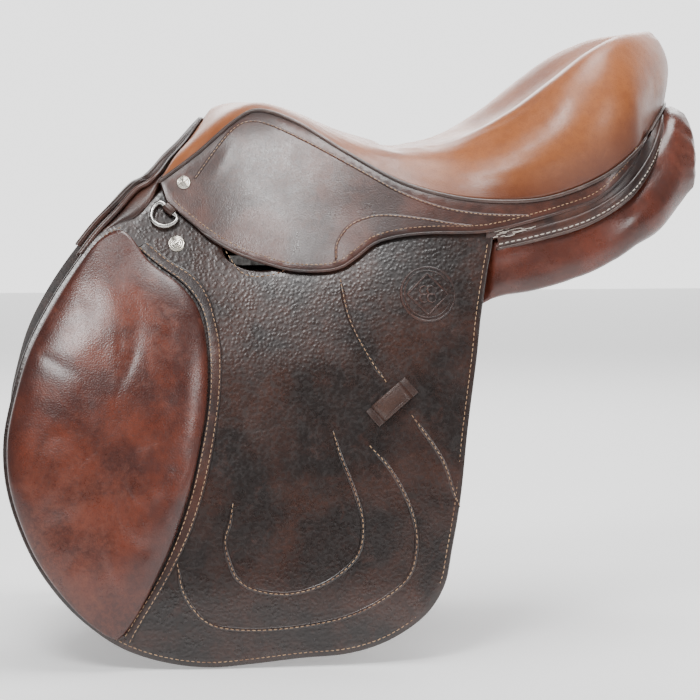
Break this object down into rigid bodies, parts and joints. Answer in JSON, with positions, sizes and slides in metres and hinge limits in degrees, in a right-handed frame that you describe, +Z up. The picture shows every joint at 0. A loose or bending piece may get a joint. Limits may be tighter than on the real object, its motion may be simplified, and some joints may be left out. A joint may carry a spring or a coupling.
{
  "type": "english saddle",
  "caption": "English all-purpose saddle: deep padded seat, crowned knee pads on forward flaps, small skirts over recessed stirrup bars, flocked panels and girth straps.",
  "frame": {"origin": "on the middle plane, on the underside of the gullet's roof below the seat's lowest point, where a rack or a back holds the saddle", "axes": "+X runs back to the cantle, +Y to the off (right) side, +Z up"},
  "size_m": [0.5964, 0.3838, 0.524],
  "materials": {
    "beech": "laminated beech",
    "edge_leather": "burnished edge",
    "flap_leather": "pebbled grain, semi-gloss",
    "foam": "open-cell foam",
    "nickel": "polished, aged",
    "pad_leather": "smooth, creased",
    "panel_leather": "smooth, satin",
    "seat_leather": "smooth calf, semi-gloss",
    "skirt_leather": "smooth, semi-gloss",
    "steel": "satin",
    "strap_leather": "satin",
    "webbing": "woven webbing"
  },
  "bodies": {
    "saddle": {"bar_rivet_1_left": "steel", "bar_rivet_1_right": "steel", "bar_rivet_2_left": "steel", "bar_rivet_2_right": "steel", "flap_top_left": "flap_leather", "flap_top_right": "flap_leather", "girth_web_left": "webbing", "girth_web_right": "webbing", "gullet_plate": "steel", "gullet_roof": "panel_leather", "panel_left": "panel_leather", "panel_right": "panel_leather", "panel_welt": "edge_leather", "pommel_binding": "edge_leather", "pommel_nail_left": "nickel", "pommel_nail_right": "nickel", "ring_chape_left": "strap_leather", "ring_chape_right": "strap_leather", "seat_cover": "seat_leather", "seat_foam": "foam", "seat_webbing": "webbing", "skirt_nail_left": "nickel", "skirt_nail_right": "nickel", "skirt_top_left": "skirt_leather", "skirt_top_right": "skirt_leather", "spring_steel_left": "steel", "spring_steel_right": "steel", "stirrup_bar_left": "steel", "stirrup_bar_right": "steel", "sweat_flap_left": "strap_leather", "sweat_flap_right": "strap_leather", "tree_cantle": "beech", "tree_head": "beech", "tree_point_left": "beech", "tree_point_right": "beech", "tree_rail_left": "beech", "tree_rail_right": "beech"},
    "flap_left": {"flap_left": "flap_leather", "knee_pad_left": "pad_leather", "pad_band_left": "flap_leather", "flap_keeper_left": "strap_leather"},
    "skirt_left": {"skirt_left": "skirt_leather"},
    "d_ring_left": {"d_ring_left": "steel"},
    "bar_catch_left": {"bar_catch_left": "steel"},
    "billet_1_left": {"billet_1_left": "strap_leather"},
    "billet_2_left": {"billet_2_left": "strap_leather"},
    "billet_3_left": {"billet_3_left": "strap_leather"},
    "flap_right": {"flap_right": "flap_leather", "knee_pad_right": "pad_leather", "pad_band_right": "flap_leather", "flap_keeper_right": "strap_leather"},
    "skirt_right": {"skirt_right": "skirt_leather"},
    "d_ring_right": {"d_ring_right": "steel"},
    "bar_catch_right": {"bar_catch_right": "steel"},
    "billet_1_right": {"billet_1_right": "strap_leather"},
    "billet_2_right": {"billet_2_right": "strap_leather"},
    "billet_3_right": {"billet_3_right": "strap_leather"}
  },
  "joints": [
    {"name": "flap_left_lift", "type": "hinge", "parent": "saddle", "child": "flap_left", "pos_m": [-0.107, -0.12821, -0.058], "axis": [-0.9549, 0.1415, 0.261], "range_deg": [0, 75]},
    {"name": "skirt_left_lift", "type": "hinge", "parent": "saddle", "child": "skirt_left", "pos_m": [-0.08375, -0.11005, 0.0065], "axis": [-0.9749, 0.1882, 0.1192], "range_deg": [0, 60]},
    {"name": "d_ring_left_swing", "type": "hinge", "parent": "saddle", "child": "d_ring_left", "pos_m": [-0.2056, -0.08945, 0.00926], "axis": [-0.7031, 0.2917, 0.6485], "range_deg": [0, 100]},
    {"name": "bar_catch_left_tip", "type": "hinge", "parent": "saddle", "child": "bar_catch_left", "pos_m": [-0.103, -0.0999, -0.033], "axis": [0, -1, 0], "range_deg": [0, 80]},
    {"name": "billet_1_left_swing", "type": "hinge", "parent": "saddle", "child": "billet_1_left", "pos_m": [-0.07, -0.11323, -0.0605], "axis": [-0.1188, -0.9417, 0.3149], "range_deg": [-3, 3]},
    {"name": "billet_2_left_swing", "type": "hinge", "parent": "saddle", "child": "billet_2_left", "pos_m": [-0.038, -0.12343, -0.0605], "axis": [-0.1331, -0.946, 0.2956], "range_deg": [-3, 3]},
    {"name": "billet_3_left_swing", "type": "hinge", "parent": "saddle", "child": "billet_3_left", "pos_m": [-0.006, -0.12254, -0.0605], "axis": [-0.1366, -0.9506, 0.2786], "range_deg": [-3, 3]},
    {"name": "flap_right_lift", "type": "hinge", "parent": "saddle", "child": "flap_right", "pos_m": [-0.107, 0.12821, -0.058], "axis": [0.9549, 0.1415, -0.261], "range_deg": [0, 75]},
    {"name": "skirt_right_lift", "type": "hinge", "parent": "saddle", "child": "skirt_right", "pos_m": [-0.08375, 0.11005, 0.0065], "axis": [0.9749, 0.1882, -0.1192], "range_deg": [0, 60]},
    {"name": "d_ring_right_swing", "type": "hinge", "parent": "saddle", "child": "d_ring_right", "pos_m": [-0.2056, 0.08945, 0.00926], "axis": [0.7031, 0.2917, -0.6485], "range_deg": [0, 100]},
    {"name": "bar_catch_right_tip", "type": "hinge", "parent": "saddle", "child": "bar_catch_right", "pos_m": [-0.103, 0.0999, -0.033], "axis": [0, -1, 0], "range_deg": [0, 80]},
    {"name": "billet_1_right_swing", "type": "hinge", "parent": "saddle", "child": "billet_1_right", "pos_m": [-0.07, 0.11323, -0.0605], "axis": [-0.1188, 0.9417, 0.3149], "range_deg": [-3, 3]},
    {"name": "billet_2_right_swing", "type": "hinge", "parent": "saddle", "child": "billet_2_right", "pos_m": [-0.038, 0.12343, -0.0605], "axis": [-0.1331, 0.946, 0.2956], "range_deg": [-3, 3]},
    {"name": "billet_3_right_swing", "type": "hinge", "parent": "saddle", "child": "billet_3_right", "pos_m": [-0.006, 0.12254, -0.0605], "axis": [-0.1366, 0.9506, 0.2786], "range_deg": [-3, 3]}
  ]
}
